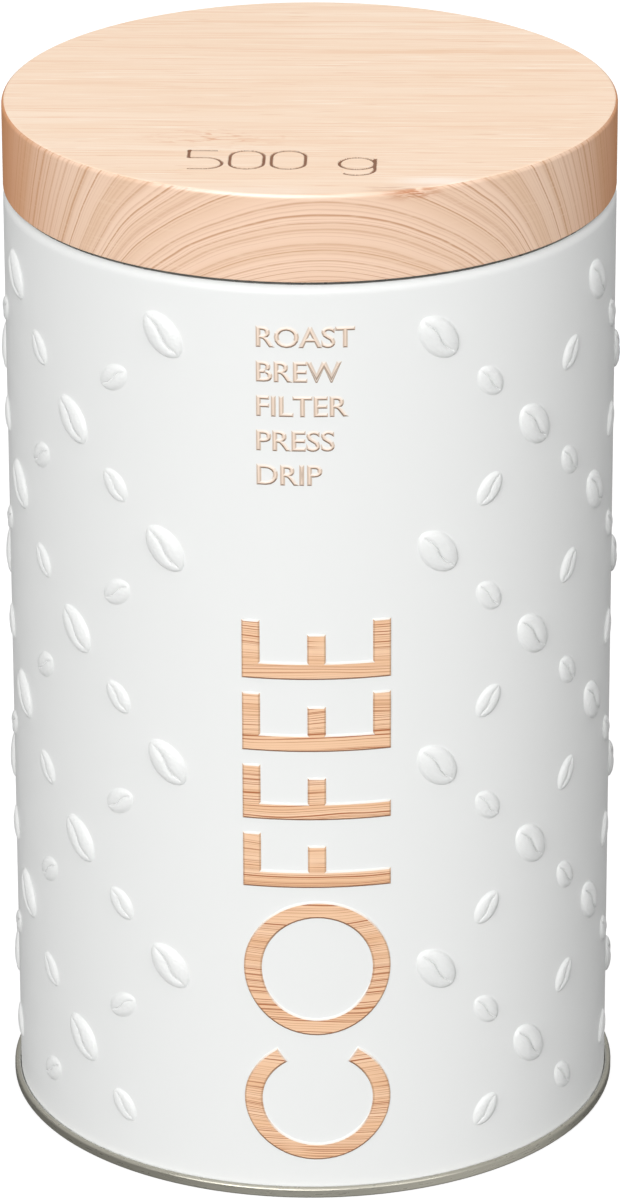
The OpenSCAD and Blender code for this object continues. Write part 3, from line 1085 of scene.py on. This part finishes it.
def area_light(name, place, size, energy, glossy=True):
    """A soft rectangle of light, with its place and size in metres."""
    light = bpy.data.lights.new(name, "AREA")
    light.shape, light.size, light.size_y = "RECTANGLE", *size
    light.energy = energy
    thing = bpy.data.objects.new(name, light)
    thing.location = place
    thing.rotation_euler = (LIGHTS_AIM - Vector(place)).to_track_quat("-Z", "Y").to_euler()
    thing.visible_glossy = glossy
    scene.collection.objects.link(thing)


lens = bpy.data.cameras.new("camera")
lens.sensor_fit, lens.sensor_width, lens.lens = "AUTO", SENSOR, FOCAL
camera = bpy.data.objects.new("camera", lens)
camera.location = CAMERA_PLACE
turns = [Matrix.Rotation(math.radians(angle), 3, axis) for angle, axis in CAMERA_TURNS]
camera.rotation_euler = (turns[0] @ turns[1] @ turns[2]).to_euler()
scene.collection.objects.link(camera)
scene.camera = camera

area_light("front", (-0.65, -2.15, 0.9), (2.4, 1.4), 51)
area_light("right", (1.0, -1.25, 0.8), (0.8, 1.2), 6.5)
area_light("top", (0, -0.2, 1.5), (1.2, 1.0), 3.6)
area_light("back", (0.35, 2.2, 0.9), (2.4, 1.4), 24, glossy=False)


def make_floor():
    """A plain pale floor, seen from above only, which throws no light back at the object."""
    shader = Shader("floor", base_color=(0.35, 0.35, 0.35, 1), roughness=0.9,
                    emission_color=(1, 1, 1, 1), emission_strength=0.75)
    shader.connect(shader.math("SUBTRACT", 1.0, shader.node("NewGeometry").outputs["Backfacing"]), "Alpha")
    data = bpy.data.meshes.new("floor")
    corners = [(x * FLOOR_HALF, y * FLOOR_HALF, 0) for x, y in ((-1, -1), (1, -1), (1, 1), (-1, 1))]
    data.from_pydata(corners, [], [(0, 1, 2, 3)])
    data.materials.append(shader.material)
    floor = bpy.data.objects.new("floor", data)
    scene.collection.objects.link(floor)
    floor.visible_diffuse = floor.visible_glossy = floor.visible_shadow = False


def make_world():
    """Soft light that grows with height. Gloss also meets a brighter sky, floor, and wall on the right."""
    world = bpy.data.worlds.new("studio")
    world.use_nodes = True
    tree = world.node_tree
    output = tree.nodes["World Output"]

    def node(kind, *inputs, **settings):
        return add_node(tree, kind, inputs, settings).outputs

    def backdrop(strength):
        return node("Background", (1, 1, 1, 1), strength)[0]

    direction = node("TexCoord")["Generated"]
    height = node("SeparateXYZ", direction)[2]
    soft = node("MapRange", height, -0.35, 0.35, *SOFT_LIGHT)[0]
    sky = node("MapRange", height, -0.1, 0.5, *SKY_GLOSS)[0]
    ahead = node("MapRange", node("SeparateXYZ", direction)[1], -0.3, -0.8, 0.0, GROUND_GLOSS)[0]
    ground = node("MapRange", height, -0.42, -0.6, 0.0, ahead)[0]
    toward_wall = node("VectorMath", direction, (0.87, -0.3, -0.38), operation="DOT_PRODUCT")[1]
    wall = node("MapRange", toward_wall, 0.65, 1.0, 0.0, WALL_GLOSS)[0]
    gloss = node("Math", node("Math", sky, ground, operation="ADD")[0], wall, operation="ADD")[0]
    ray = node("LightPath")
    lit = node("MixShader", ray["Is Glossy Ray"], backdrop(soft), backdrop(gloss))[0]
    tree.links.new(node("MixShader", ray["Is Camera Ray"], lit, backdrop(1.0))[0], output.inputs[0])
    scene.world = world


make_floor()
make_world()
scene.view_settings.view_transform = "Standard"
